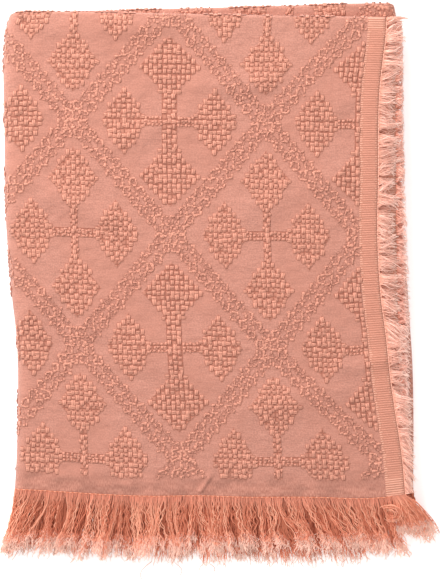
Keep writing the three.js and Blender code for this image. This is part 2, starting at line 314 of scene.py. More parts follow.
class Shade:
    # builds a material's nodes from short expressions
    def __init__(self, name, roughness, sheen):
        self.material = bpy.data.materials.new(name)
        self.material.use_nodes = True
        self.tree = self.material.node_tree
        self.shader = self.tree.nodes["Principled BSDF"]
        self.shader.inputs["Roughness"].default_value = roughness
        self.shader.inputs["Specular IOR Level"].default_value = 0.25
        self.shader.inputs["Sheen Weight"].default_value = sheen
        self.shader.inputs["Sheen Roughness"].default_value = 0.5

    def add(self, kind, **settings):
        node = self.tree.nodes.new(kind)
        for key, value in settings.items():
            setattr(node, key, value)
        return node

    def feed(self, socket, value):
        if isinstance(value, bpy.types.NodeSocket):
            self.tree.links.new(value, socket)
        elif isinstance(value, tuple):
            socket.default_value = linearColour(*value)
        else:
            socket.default_value = value

    def math(self, operation, *values):
        node = self.add("ShaderNodeMath", operation=operation)
        for socket, value in zip(node.inputs, values):
            self.feed(socket, value)
        return node.outputs[0]

    def blend(self, share, first, second):
        node = self.add("ShaderNodeMix", data_type="RGBA")
        self.feed(node.inputs["Factor"], share)
        self.feed(node.inputs["A"], first)
        self.feed(node.inputs["B"], second)
        return node.outputs["Result"]

    def scale(self, colour, amount):
        node = self.add("ShaderNodeMix", data_type="RGBA", blend_type="MULTIPLY")
        node.inputs["Factor"].default_value = 1.0
        self.feed(node.inputs["A"], colour)
        grey = self.add("ShaderNodeCombineColor")
        for socket in grey.inputs:
            self.feed(socket, amount)
        self.feed(node.inputs["B"], grey.outputs[0])
        return node.outputs["Result"]

    def spread(self, value, low, high, toLow=0.0, toHigh=1.0):
        node = self.add("ShaderNodeMapRange", interpolation_type="SMOOTHSTEP")
        for socket, number in zip(node.inputs, (value, low, high, toLow, toHigh)):
            self.feed(socket, number)
        return node.outputs[0]

    def noise(self, vector, scale, detail=2.0):
        node = self.add("ShaderNodeTexNoise")
        self.feed(node.inputs["Vector"], vector)
        node.inputs["Scale"].default_value = scale
        node.inputs["Detail"].default_value = detail
        return node.outputs["Fac"]

    def cracks(self, vector, scale):
        # distance to the nearest border between irregular cells
        node = self.add("ShaderNodeTexVoronoi", feature="DISTANCE_TO_EDGE", voronoi_dimensions="2D")
        self.feed(node.inputs["Vector"], vector)
        node.inputs["Scale"].default_value = scale
        return node.outputs["Distance"]

    def stretched(self, vector, x, y, z=1.0):
        node = self.add("ShaderNodeVectorMath", operation="MULTIPLY")
        self.feed(node.inputs[0], vector)
        node.inputs[1].default_value = (x, y, z)
        return node.outputs[0]

    def attribute(self, name):
        return self.add("ShaderNodeAttribute", attribute_name=name).outputs["Fac"]

    def uv(self, name):
        return self.add("ShaderNodeUVMap", uv_map=name).outputs["UV"]

    def parts(self, vector):
        node = self.add("ShaderNodeSeparateXYZ")
        self.feed(node.inputs[0], vector)
        return node.outputs[0], node.outputs[1]

    def finish(self, colour, height=None, strength=1.0, distance=0.001):
        self.feed(self.shader.inputs["Base Color"], colour)
        if height is not None:
            bump = self.add("ShaderNodeBump")
            bump.inputs["Strength"].default_value = strength
            bump.inputs["Distance"].default_value = distance
            self.feed(bump.inputs["Height"], height)
            self.feed(self.shader.inputs["Normal"], bump.outputs[0])
        return self.material


# the pattern, charted in small cells of raised yarn, in mm on the flat cloth

weave = {
    "column": 3.95,  # width of a cell in the basket weave
    "row": 4.25,
    "pairShift": 0.22,  # rows lie in pairs, a little closer together
    "crossU": 1124.7,  # middle of one cross
    "crossV": 316.0,
    "repeatU": 162.0,
    "repeatV": 191.0,
    "endAway": 46.2,  # from the cross's middle to that of its upper and lower diamond
    "sideSteps": [4, 4, 3, 3, 2, 1, 0],  # columns each side of a diamond's middle, row by row
    # the two kinds of cross, which take turns from column to column
    "wideCross": {
        "sideAway": 38.0,
        "endSteps": [6, 5, 4, 3, 2, 1],
        "endHalfWidth": 25.0,
        "barHalfWidth": 6.3,
        "levelRows": (-2.9, 0.0, 2.9),
    },
    "slimCross": {
        "sideAway": 35.2,
        "endSteps": [5, 4, 3, 3, 2, 1],
        "endHalfWidth": 20.5,
        "barHalfWidth": 3.2,
        "levelRows": (-2.4, 0.0, 2.4),
    },
    "ringSteps": 12,  # rings along one side of the trellis
    "ringOffset": 5.9,  # of the two chains of rings from the trellis line
    "ringHalfWidth": 2.75,
    "ringHalfHeight": 3.3,
    "ribFrom": 1285.2,
    "ribTo": 1299.3,
    "ribPitch": 1.93,
    "hemHeight": 14.0,
}


def crossCells(cross):
    # u, v from the middle of a cross, and the kind of each raised yarn
    cells = []
    column, row = weave["column"], weave["row"]
    isWide = cross["barHalfWidth"] > column

    def rowPlace(j):
        return j * row + (weave["pairShift"] if j % 2 else -weave["pairShift"])

    for way in (-1, 1):
        for j in range(-5, 6):
            steps = cross["endSteps"][abs(j)]
            steps = max(steps, 2) if isWide and j * way < 0 else steps
            for i in range(-steps, steps + 1):
                kind = "upright" if (i + j) % 2 == 0 else "lying"
                cells.append((i * column, way * weave["endAway"] + rowPlace(j), kind))
        for j in range(-6, 7):
            steps = weave["sideSteps"][abs(j)]
            for i in range(-steps, steps + 1):
                kind = "upright" if (i + j) % 2 == 0 else "lying"
                cells.append((way * cross["sideAway"] + i * column, rowPlace(j), kind))
        reach = cross["sideAway"] - 4.5 * column
        for number, v in enumerate(cross["levelRows"]):
            for place, u in enumerate(np.arange(cross["barHalfWidth"] + 1.2, reach + 1.5, 3.1)):
                cells.append((way * u, v, "small" if (place + number) % 2 else "smallUpright"))
    for j in range(-5, 6):
        if isWide:
            for i in (-1, 0, 1):
                kind = "upright" if (i + j) % 2 == 0 else "lying"
                cells.append((i * column, rowPlace(j), kind))
        else:
            way = 1 if j % 2 else -1
            cells.append((0.5 * way, j * row, "upright"))
            cells.append((-2.6 * way, j * row + 1.9, "smallUpright"))
    return cells


def trellisCells():
    # the two upper sides of the rhombus round a cross, as chains of small rings
    cells = []
    steps = weave["ringSteps"]
    for way in (-1, 1):
        for k in range(steps):
            share = (k + 0.5) / steps
            u = way * share * weave["repeatU"] / 2
            v = (1 - share) * weave["repeatV"] / 2
            for chain in (-1, 1):
                ringU = u + chain * weave["ringOffset"]
                for edge in (-1, 1):
                    for half in (-1.5, 1.5):
                        cells.append((ringU + edge * weave["ringHalfWidth"], v + half, "ringUpright"))
                        cells.append((ringU + half, v + edge * weave["ringHalfHeight"], "ringLying"))
            if k % 2:
                cells.append((u, v, "small"))
    return cells


def chartFloats(fromU, toU, fromV, toV):
    rows = []
    taken = set()
    trellis = trellisCells()
    charts = [crossCells(weave["wideCross"]) + trellis, crossCells(weave["slimCross"]) + trellis]
    halfU, halfV = weave["repeatU"] / 2, weave["repeatV"] / 2
    for m in range(-16, 4):
        for n in range(-5, 4):
            if (m + n) % 2:
                continue
            for cellU, cellV, kind in charts[m % 2]:
                u = weave["crossU"] + m * halfU + cellU
                v = weave["crossV"] + n * halfV + cellV
                if not (fromU < u < toU and fromV < v < toV):
                    continue
                spot = (round(u / 1.7), round(v / 1.7))
                if kind.startswith("ring") and spot in taken:
                    continue
                taken.add(spot)
                rows.append((u, v, kind))
    return rows


# materials


cotton = {
    # colours in 0 to 255 values, the darker one first
    "ground": ((186, 126, 109), (200, 141, 124)),
    "patchColour": (191, 127, 108),
    # the float pair's darker colour is painted shade in the gaps between the painted floats
    "float": ((166, 100, 81), (202, 138, 118)),
    # colour of the painted shade along the cracks of the trellis chains
    "crackDentAndShade": (170, 103, 84),
    "hem": ((171, 111, 94), (197, 137, 119)),
    # the rib pair paints shade in the grooves between ribs and light on their crests
    "rib": ((196, 125, 103), (236, 176, 153)),
    "edge": (206, 136, 112),
    # unevenness: waves to a mm across and along the cloth, and how fine its detail is
    "patches": (0.12, 0.12, 2.0),
    "weft": (0.10, 1.6, 3.0),
    "warp": (1.5, 0.08, 2.0),
    "grit": (0.75, 0.75, 2.0),
    "puff": (0.055, 0.07, 2.0),
    "darkPatches": (0.018, 0.012, 3.0),
    "streaks": (1.3, 0.35, 3.0),
    "blotches": (0.06, 0.11, 2.0),
    # what each adds to the bump, in mm
    "basketHeight": 0.75,
    "weftHeight": 0.2,
    "warpHeight": 0.18,
    "gritHeight": 0.12,
    "squiggleDepth": 0.45,
    "ribHeight": 0.32,
    "puffHeight": 2.4,
}


def clothMaterial():
    shade = Shade("wovenCotton", 0.92, 0.25)
    calc, spread, blend = shade.math, shade.spread, shade.blend
    flat = shade.stretched(shade.uv("flat"), 1 / mm, 1 / mm)
    u, v = shade.parts(flat)
    crossU, crossV, repeatU, repeatV = (weave[key] for key in ("crossU", "crossV", "repeatU", "repeatV"))

    def times(*values):
        product = values[0]
        for value in values[1:]:
            product = calc("MULTIPLY", product, value)
        return product

    def inverse(value):
        return calc("SUBTRACT", 1.0, value)

    def away(value, centre):
        return calc("ABSOLUTE", calc("SUBTRACT", value, centre))

    def fold(value, centre, repeat):
        # distance to the nearest repeat of the centre
        return calc("PINGPONG", calc("SUBTRACT", value, centre), repeat / 2)

    def diamond(a, wide, b, high):
        return calc("ADD", calc("DIVIDE", a, wide), calc("DIVIDE", b, high))

    def uneven(key):
        across, along, detail = cotton[key]
        return shade.noise(shade.stretched(flat, across, along), 1.0, detail)

    # the raised areas: 1 at the border of a shape, less inside
    nearest = 9.0
    for half, cross in ((0, weave["wideCross"]), (0.5, weave["slimCross"])):
        pu = fold(u, crossU - (10 - half) * repeatU, repeatU)
        pv = fold(v, crossV - (4 - half) * repeatV, repeatV)
        for shape in (
            diamond(pu, cross["endHalfWidth"], away(pv, weave["endAway"]), 25.0),
            diamond(away(pu, cross["sideAway"]), 18.5, pv, 28.0),
            calc("MAXIMUM", calc("DIVIDE", pu, cross["barHalfWidth"]), calc("DIVIDE", pv, 30.0)),
            calc("MAXIMUM", calc("DIVIDE", pv, 4.0), calc("DIVIDE", pu, 24.0)),
        ):
            nearest = calc("MINIMUM", shape, nearest)
    raised = spread(nearest, 1.08, 0.98)

    # the two chains of each trellis band
    pu = fold(u, crossU - 10 * repeatU, repeatU)
    pv = fold(v, crossV - 4 * repeatV, repeatV)
    line = times(inverse(calc("DIVIDE", pv, repeatV / 2)), repeatU / 2)
    chain = spread(away(away(pu, line), weave["ringOffset"]), 5.4, 3.2)
    # thin cracks between the rings' yarns, dented in the bump and painted as shade in the colour
    crackDentAndShade = spread(shade.cracks(flat, 0.34), 0.17, 0.03)
    crackDentAndShade = times(crackDentAndShade, chain, spread(uneven("patches"), 0.3, 0.6, 0.45, 1.0))

    # basket weave: cells with upright and lying yarns in turn, counted from far outside the cloth
    across = calc("ADD", calc("DIVIDE", calc("SUBTRACT", u, crossU), weave["column"]), 400.5)
    along = calc("SUBTRACT", v, crossV + weave["endAway"])
    along = calc("ADD", calc("DIVIDE", along, weave["row"]), 400.5)
    parity = calc("MODULO", calc("ADD", calc("FLOOR", across), calc("FLOOR", along)), 2.0)
    inColumn, inRow = (
        calc("SUBTRACT", times(calc("FRACT", place), 2.0), 1.0) for place in (across, along))
    roundAcross, roundAlong = (
        inverse(calc("POWER", calc("ABSOLUTE", place), 3.0)) for place in (inColumn, inRow))
    # each cell's rise; where it falls towards the gaps the colour takes painted shade
    knuckleAndGapShade = times(roundAcross, roundAlong, inverse(times(parity, 0.3)))
    pattern = calc("MAXIMUM", raised, times(chain, 0.22))

    # selvedge ribs and hems
    fromSide = calc("MINIMUM", u, calc("SUBTRACT", cloth["width"], u))
    ribBand = times(spread(fromSide, 15.6, 15.0), spread(fromSide, 0.5, 0.9))
    ribWave = calc("SINE", times(v, 2 * math.pi / weave["ribPitch"]))
    # the ribs' crests: they raise the bump and also paint the crests lighter and the grooves darker
    ribs = times(ribBand, calc("ADD", 0.5, times(ribWave, 0.5)))
    fromHem = calc("MINIMUM", v, calc("SUBTRACT", cloth["length"], v))
    hem = spread(fromHem, weave["hemHeight"] + 2.5, weave["hemHeight"] - 2.5)
    softHem = spread(fromHem, weave["hemHeight"] + 14.0, weave["hemHeight"] - 12.0)
    plainBand = calc("MAXIMUM", hem, spread(fromSide, 16.2, 15.6))
    basket = times(pattern, knuckleAndGapShade, inverse(plainBand))
    pattern = times(pattern, inverse(plainBand))
    crackDentAndShade = times(crackDentAndShade, inverse(calc("MAXIMUM", plainBand, raised)))

    # bump
    weft, grit = uneven("weft"), uneven("grit")
    height = times(basket, cotton["basketHeight"])
    for part, amount in (
        (weft, "weftHeight"), (uneven("warp"), "warpHeight"), (grit, "gritHeight"),
        (ribs, "ribHeight"), (uneven("puff"), "puffHeight"),
    ):
        height = calc("ADD", height, times(part, cotton[amount]))
    height = calc("SUBTRACT", height, times(crackDentAndShade, cotton["squiggleDepth"]))

    # colour
    ground = blend(spread(weft, 0.25, 0.75), *cotton["ground"])
    ground = shade.scale(ground, calc("ADD", 0.87, times(spread(grit, 0.3, 0.7), 0.26)))
    # soft random patches, a little darker and redder than the ground
    ground = blend(times(spread(uneven("darkPatches"), 0.35, 0.7), 0.45), ground, cotton["patchColour"])
    # painted shade: the pattern's colour darkens into the gaps between its floats
    colour = blend(pattern, ground, blend(knuckleAndGapShade, *cotton["float"]))
    # painted shade along the trellis cracks
    colour = blend(times(crackDentAndShade, 0.5), colour, cotton["crackDentAndShade"])
    hemColour = blend(spread(uneven("streaks"), 0.3, 0.7), *cotton["hem"])
    blotches = spread(uneven("blotches"), 0.35, 0.65)
    hemColour = shade.scale(hemColour, calc("ADD", 0.86, times(blotches, 0.26)))
    colour = blend(softHem, colour, hemColour)
    # painted light and shade on the ribs: crests lighter, grooves darker
    colour = blend(ribBand, colour, blend(ribs, *cotton["rib"]))
    colour = blend(spread(fromSide, 0.8, 0.5), colour, cotton["edge"])
    return shade.finish(colour, height, 1.0, mm)


floatFinish = {
    "top": (219, 152, 130),
    # rim is painted shade round the edge of each float, groove painted shade between its two strands
    "rim": (160, 94, 76),
    "ribRimShade": 0.25,  # how much of the painted rim shade a selvedge rib keeps
    "grooveShade": 0.42,
    "strands": 5,
}


def floatMaterial():
    shade = Shade("raisedFloats", 0.9, 0.25)
    x, y = shade.parts(shade.uv("pillow"))
    calc = shade.math
    fromMiddle, fromEnd = (
        calc("ABSOLUTE", calc("SUBTRACT", calc("MULTIPLY", place, 2.0), 1.0)) for place in (x, y))
    # 1 for two strands side by side, 0 for a single one, -1 for a rib, which keeps less of the painted rim
    # shade
    wide = shade.attribute("wide")
    # painted shade, darker towards each float's rim
    rim = calc("MAXIMUM", shade.spread(fromMiddle, 0.56, 0.86), shade.spread(fromEnd, 0.7, 0.92))
    lessRimShade = calc("MULTIPLY", calc("MINIMUM", wide, 0.0), 1 - floatFinish["ribRimShade"])
    rim = calc("MULTIPLY", rim, calc("ADD", 1.0, lessRimShade))
    # painted shade in the groove between two strands
    grooveShade = calc("MULTIPLY", shade.spread(fromMiddle, 0.26, 0.02), calc("MAXIMUM", wide, 0.0))
    rim = calc("MAXIMUM", rim, calc("MULTIPLY", grooveShade, floatFinish["grooveShade"]))
    strand = calc("SINE", calc("MULTIPLY", x, floatFinish["strands"] * math.pi))
    colour = shade.blend(rim, floatFinish["top"], floatFinish["rim"])
    # the strands' tops are painted lighter and their sides darker, in step with the bump: painted light and
    # shade
    tone = calc("ADD", shade.attribute("tone"), calc("MULTIPLY", strand, 0.14))
    colour = shade.scale(colour, calc("ADD", 0.84, calc("MULTIPLY", tone, 0.26)))
    return shade.finish(colour, strand, 0.5, 0.3 * mm)


# each yarn's colours from root to tip, the share at which its pale tip begins, and its glow, which is
# painted light
yarnFinishes = {
    "fringeYarn": ((220, 142, 118), (243, 148, 116), (254, 188, 158), (252, 214, 198), 0.93, 0.08),
    "fringeTip": ((226, 134, 107), (230, 140, 113), (243, 172, 144), (252, 208, 190), 0.9, 0.12),
    "selvedgeYarn": ((244, 176, 152), (246, 188, 168), (254, 212, 196), (255, 222, 208), 0.6, 0.2),
    # the inner selvedge's yarn is the same yarn painted darker: a shaded copy
    "shadedInnerYarn": ((226, 150, 128), (238, 172, 152), (252, 204, 186), (254, 220, 208), 0.5, 0.17),
}


def yarnMaterial(name):
    root, body, bright, tip, tipFrom, glow = yarnFinishes[name]
    shade = Shade(name, 0.95, 0.04)
    shade.shader.inputs["Specular IOR Level"].default_value = 0.08
    calc = shade.math
    share, tone = shade.attribute("share"), shade.attribute("tone")
    colour = shade.blend(shade.spread(tone, 0.35, 1.0), body, bright)
    colour = shade.blend(shade.spread(share, 0.0, 0.35), root, colour)
    colour = shade.blend(shade.spread(share, tipFrom, 1.0), colour, tip)
    colour = shade.scale(colour, calc("ADD", 0.66, calc("MULTIPLY", calc("MINIMUM", tone, 1.1), 0.4)))
    # the glow is painted light, an emission that stands in for a little of the light that passes through the
    # thin fibres
    shade.feed(shade.shader.inputs["Emission Color"], colour)
    shade.shader.inputs["Emission Strength"].default_value = glow
    return shade.finish(colour)


clothLook = clothMaterial()
floatLook = floatMaterial()
warpYarnLook = yarnMaterial("fringeYarn")
tipYarnLook = yarnMaterial("fringeTip")
sideYarnLook = yarnMaterial("selvedgeYarn")
shadedInnerYarnLook = yarnMaterial("shadedInnerYarn")
print("materials made")


# Geometry Nodes


def startTree(name, inputs):
    tree = bpy.data.node_groups.new(name, "GeometryNodeTree")
    tree.interface.new_socket("Geometry", in_out="INPUT", socket_type="NodeSocketGeometry")
    for label, kind in inputs:
        tree.interface.new_socket(label, in_out="INPUT", socket_type=kind)
    tree.interface.new_socket("Geometry", in_out="OUTPUT", socket_type="NodeSocketGeometry")
    return tree, tree.nodes.new("NodeGroupInput"), tree.nodes.new("NodeGroupOutput")


def namedAttribute(tree, name, kind):
    node = tree.nodes.new("GeometryNodeInputNamedAttribute")
    node.data_type = kind
    node.inputs["Name"].default_value = name
    return node.outputs["Attribute"]


def floatTree():
    # one raised float on every point, turned and sized by the point's attributes
    tree, given, result = startTree("raisedFloatTree", [
        ("Float", "NodeSocketObject"), ("Unevenness", "NodeSocketFloat"),
        ("Seed", "NodeSocketInt"), ("Finish", "NodeSocketMaterial")])
    link = tree.links.new
    points = tree.nodes.new("GeometryNodeMeshToPoints")
    shape = tree.nodes.new("GeometryNodeObjectInfo")
    place = tree.nodes.new("GeometryNodeInstanceOnPoints")
    turn = tree.nodes.new("FunctionNodeEulerToRotation")
    uneven = tree.nodes.new("FunctionNodeRandomValue")
    size = tree.nodes.new("ShaderNodeVectorMath")
    size.operation = "SCALE"
    lowest = tree.nodes.new("ShaderNodeMath")
    lowest.operation = "SUBTRACT"
    lowest.inputs[0].default_value = 1.0
    realize = tree.nodes.new("GeometryNodeRealizeInstances")
    finish = tree.nodes.new("GeometryNodeSetMaterial")
    link(given.outputs["Geometry"], points.inputs["Mesh"])
    link(given.outputs["Float"], shape.inputs["Object"])
    link(points.outputs["Points"], place.inputs["Points"])
    link(shape.outputs["Geometry"], place.inputs["Instance"])
    link(namedAttribute(tree, "turn", "FLOAT_VECTOR"), turn.inputs[0])
    link(turn.outputs[0], place.inputs["Rotation"])
    link(given.outputs["Unevenness"], lowest.inputs[1])
    link(lowest.outputs[0], uneven.inputs[2])
    uneven.inputs[3].default_value = 1.0
    link(given.outputs["Seed"], uneven.inputs["Seed"])
    link(namedAttribute(tree, "size", "FLOAT_VECTOR"), size.inputs[0])
    link(uneven.outputs[1], size.inputs["Scale"])
    link(size.outputs[0], place.inputs["Scale"])
    link(place.outputs["Instances"], realize.inputs["Geometry"])
    link(realize.outputs["Geometry"], finish.inputs["Geometry"])
    link(given.outputs["Finish"], finish.inputs["Material"])
    link(finish.outputs["Geometry"], result.inputs["Geometry"])
    return tree


def yarnTree():
    # a round yarn along every chain of edges, as thick as its points say
    tree, given, result = startTree("spunYarnTree", [
        ("Sides", "NodeSocketInt"), ("Thickness", "NodeSocketFloat"), ("Finish", "NodeSocketMaterial")])
    link = tree.links.new
    curve = tree.nodes.new("GeometryNodeMeshToCurve")
    radius = tree.nodes.new("GeometryNodeSetCurveRadius")
    thick = tree.nodes.new("ShaderNodeMath")
    thick.operation = "MULTIPLY"
    profile = tree.nodes.new("GeometryNodeCurvePrimitiveCircle")
    profile.inputs["Radius"].default_value = 1.0
    sweep = tree.nodes.new("GeometryNodeCurveToMesh")
    sweep.inputs["Fill Caps"].default_value = True
    realize = tree.nodes.new("GeometryNodeRealizeInstances")
    finish = tree.nodes.new("GeometryNodeSetMaterial")
    link(given.outputs["Geometry"], curve.inputs["Mesh"])
    link(curve.outputs["Curve"], radius.inputs["Curve"])
    link(namedAttribute(tree, "thick", "FLOAT"), thick.inputs[0])
    link(given.outputs["Thickness"], thick.inputs[1])
    link(thick.outputs[0], radius.inputs["Radius"])
    link(given.outputs["Sides"], profile.inputs["Resolution"])
    link(radius.outputs["Curve"], sweep.inputs["Curve"])
    link(profile.outputs["Curve"], sweep.inputs["Profile Curve"])
    if "Scale" in sweep.inputs:
        link(thick.outputs[0], sweep.inputs["Scale"])
    link(sweep.outputs["Mesh"], realize.inputs["Geometry"])
    link(realize.outputs["Geometry"], finish.inputs["Geometry"])
    link(given.outputs["Finish"], finish.inputs["Material"])
    link(finish.outputs["Geometry"], result.inputs["Geometry"])
    return tree


def pointMesh(name, points, edges, attributes):
    mesh = bpy.data.meshes.new(name)
    mesh.from_pydata(points.tolist(), edges, [])
    for key, values in attributes.items():
        values = np.asarray(values, np.float32)
        kind = "FLOAT_VECTOR" if values.ndim == 2 else "FLOAT"
        layer = mesh.attributes.new(key, kind, "POINT")
        layer.data.foreach_set("vector" if values.ndim == 2 else "value", values.ravel())
    return mesh


def applyTree(name, mesh, tree, values, finish):
    source = bpy.data.objects.new(name + "Points", mesh)
    bpy.context.scene.collection.objects.link(source)
    modifier = source.modifiers.new("build", "NODES")
    modifier.node_group = tree
    for item in tree.interface.items_tree:
        if item.item_type == "SOCKET" and item.in_out == "INPUT" and item.name in values:
            modifier[item.identifier] = values[item.name]
    bpy.context.view_layer.update()
    evaluated = source.evaluated_get(bpy.context.evaluated_depsgraph_get())
    result = bpy.data.meshes.new_from_object(evaluated)
    result.name = name
    piece = bpy.data.objects.new(name, result)
    bpy.context.scene.collection.objects.link(piece)
    bpy.data.objects.remove(source)
    result.materials.clear()
    result.materials.append(finish)
    print(name, len(result.polygons), "faces")
    return piece


floatNodes = floatTree()
yarnNodes = yarnTree()


# the cloth

sheetGrid = {
    "fineStep": 3.7,  # on the panel that shows
    "coarseStep": 30.0,
    "turnSteps": 9,
    "wideTurnSteps": 14,
    "creaseStep": 0.8,  # over the small pleat at the hem
    "pleatX": 147.0,
    "pleatReach": 10.0,
    "hemReach": 22.0,
}


def gridStations(path, total, fineRun, extra):
    stations = [0.0]
    ends = list(path["start"][1:]) + [total]
    for index, (start, end) in enumerate(zip(path["start"], ends)):
        if path["side"][index]:
            steps = sheetGrid["wideTurnSteps"] if path["radius"][index] > 5 else sheetGrid["turnSteps"]
        else:
            step = sheetGrid["fineStep"] if index == fineRun else sheetGrid["coarseStep"]
            steps = round((end - start) / step)
        stations += list(np.linspace(start, end, steps + 1)[1:])
    stations = np.unique(np.round(np.concatenate([stations, extra]), 4))
    return stations


def makeCloth():
    fine, reach = sheetGrid["creaseStep"], sheetGrid["pleatReach"]
    pleat = frontU + sheetGrid["pleatX"] + np.arange(-reach, reach + 0.1, fine)
    columns = gridStations(widthPath, cloth["width"], 6, pleat)
    rows = gridStations(lengthPath, cloth["length"], 0, np.arange(fine, sheetGrid["hemReach"], fine))
    u, v = np.meshgrid(columns, rows)
    half = cloth["thickness"] / 2
    upper = onCloth(u, v, np.full(u.shape, half))[0]
    lower = onCloth(u, v, np.full(u.shape, -half))[0]
    rowCount, columnCount = u.shape
    points = np.concatenate([upper.reshape(-1, 3), lower.reshape(-1, 3)])
    index = np.arange(rowCount * columnCount).reshape(rowCount, columnCount)
    far = index + rowCount * columnCount
    faces = [
        np.stack([index[:-1, :-1], index[:-1, 1:], index[1:, 1:], index[1:, :-1]], -1),
        np.stack([far[:-1, :-1], far[1:, :-1], far[1:, 1:], far[:-1, 1:]], -1),
    ]
    rims = [
        np.stack([index[:-1, 0], index[1:, 0], far[1:, 0], far[:-1, 0]], -1),
        np.stack([index[:-1, -1], far[:-1, -1], far[1:, -1], index[1:, -1]], -1),
        np.stack([index[0, :-1], far[0, :-1], far[0, 1:], index[0, 1:]], -1),
        np.stack([index[-1, :-1], index[-1, 1:], far[-1, 1:], far[-1, :-1]], -1),
    ]
    quads = np.concatenate([part.reshape(-1, 4) for part in faces + rims])
    mesh = bpy.data.meshes.new("wovenCloth")
    mesh.from_pydata(points.tolist(), [], quads.tolist())
    flat = np.stack([np.tile(u.ravel(), 2), np.tile(v.ravel(), 2)], -1) * mm
    layer = mesh.uv_layers.new(name="flat")
    corners = np.zeros(len(mesh.loops), np.int32)
    mesh.loops.foreach_get("vertex_index", corners)
    layer.data.foreach_set("uv", flat[corners].astype(np.float32).ravel())
    mesh.polygons.foreach_set("use_smooth", [True] * len(mesh.polygons))
    mesh.materials.append(clothLook)
    piece = bpy.data.objects.new("wovenCloth", mesh)
    bpy.context.scene.collection.objects.link(piece)
    print("wovenCloth", len(mesh.polygons), "faces")
    return piece


clothPiece = makeCloth()

# raised yarns of the pattern and the selvedge's ribs

relief = {
    # width, length and height of each kind of float, in mm
    "upright": (4.3, 5.7, 1.4),
    "lying": (4.1, 5.0, 1.0),
    "small": (2.4, 3.2, 0.95),
    "smallUpright": (2.4, 3.2, 1.1),
    "ringUpright": (2.3, 4.2, 1.1),
    "ringLying": (2.3, 3.9, 1.0),
    "rib": (1.6, 14.0, 0.5),
    # lowest and highest tone
    "uprightTone": (0.45, 1.0),
    "lyingTone": (0.0, 0.8),
    "smallTone": (0.45, 1.25),
    # how uneven the basket weave's floats, the rings' floats and the ribs are
    "jitter": (0.38, 0.494, 0.038),
    "tilt": (0.12, 0.216, 0.0036),
    "stretch": (0.08, 0.16, 0.016),
    "missing": 0.04,
    "missingInRings": 0.12,
    "unevenness": 0.25,
    "seed": 11,
    # how far the pattern goes round the left fold and the top fold, in mm
    "pastLeft": 32.0,
    "pastTop": 6.0,
    # the strip of the pack behind that shows above the front fold
    "stripFrom": 400.0,
    "stripTo": 648.0,
    "stripHeight": 24.0,
}


def pillowObject():
    # a low rounded cushion of yarn, one unit wide, long and high
    points = []
    for y in (-1.0, -0.7, 0.0, 0.7, 1.0):
        for x in (-1.0, -0.6, 0.6, 1.0):
            rise = (1 - abs(x) ** 4.0) * (1 - abs(y) ** 3.0)
            points.append((0.5 * x * (1 - 0.2 * y * y), 0.5 * y * (1 - 0.12 * x * x), rise + 0.04))
    faces = [(r * 4 + c, r * 4 + c + 1, r * 4 + c + 5, r * 4 + c + 4) for r in range(4) for c in range(3)]
    mesh = bpy.data.meshes.new("floatShape")
    mesh.from_pydata(points, [], faces)
    layer = mesh.uv_layers.new(name="pillow")
    for loop in mesh.loops:
        x, y, _ = points[loop.vertex_index]
        layer.data[loop.index].uv = (x + 0.5, y + 0.5)
    mesh.polygons.foreach_set("use_smooth", [True] * len(mesh.polygons))
    shape = bpy.data.objects.new("floatShape", mesh)
    bpy.context.scene.collection.objects.link(shape)
    return shape


def floatRows(rng):
    # u, v, width, length, height, tone, wide, lies, class (0 basket weave, 1 ring, 2 rib)
    hem, top = weave["hemHeight"], cloth["topFoldAt"]
    pastTop = top + relief["pastTop"]
    charted = chartFloats(frontU - relief["pastLeft"], weave["ribFrom"] - 1.2, hem + 1.5, pastTop)
    charted += chartFloats(relief["stripFrom"], relief["stripTo"], top - relief["stripHeight"], pastTop)
    rows = []
    for u, v, kind in charted:
        isRing, isSmall = kind.startswith("ring"), kind.startswith("small")
        if rng.random() < relief["missingInRings" if isRing else "missing"]:
            continue
        tone = rng.uniform(*relief["uprightTone" if kind == "upright" else "lyingTone"])
        if isRing or isSmall:
            tone = rng.uniform(*relief["smallTone"])
        wide = 0 if isRing else 0.4 if isSmall else 1
        lies = 0 if kind.lower().endswith("upright") else 1
        rows.append((u, v, *relief[kind], tone, wide, lies, 1 if isRing else 0))
    width, length, height = relief["rib"]
    for v in np.arange(hem + 2, top - 8, weave["ribPitch"]):
        fade = ease((v - hem) / 14) * ease((top - v) / 22)
        tone = 0.8 + 0.2 * rng.random()
        u = (weave["ribFrom"] + weave["ribTo"]) / 2
        rows.append((u, v, width, length, max(0.08, height * fade), tone, -1, 1, 2))
    return np.array(rows)


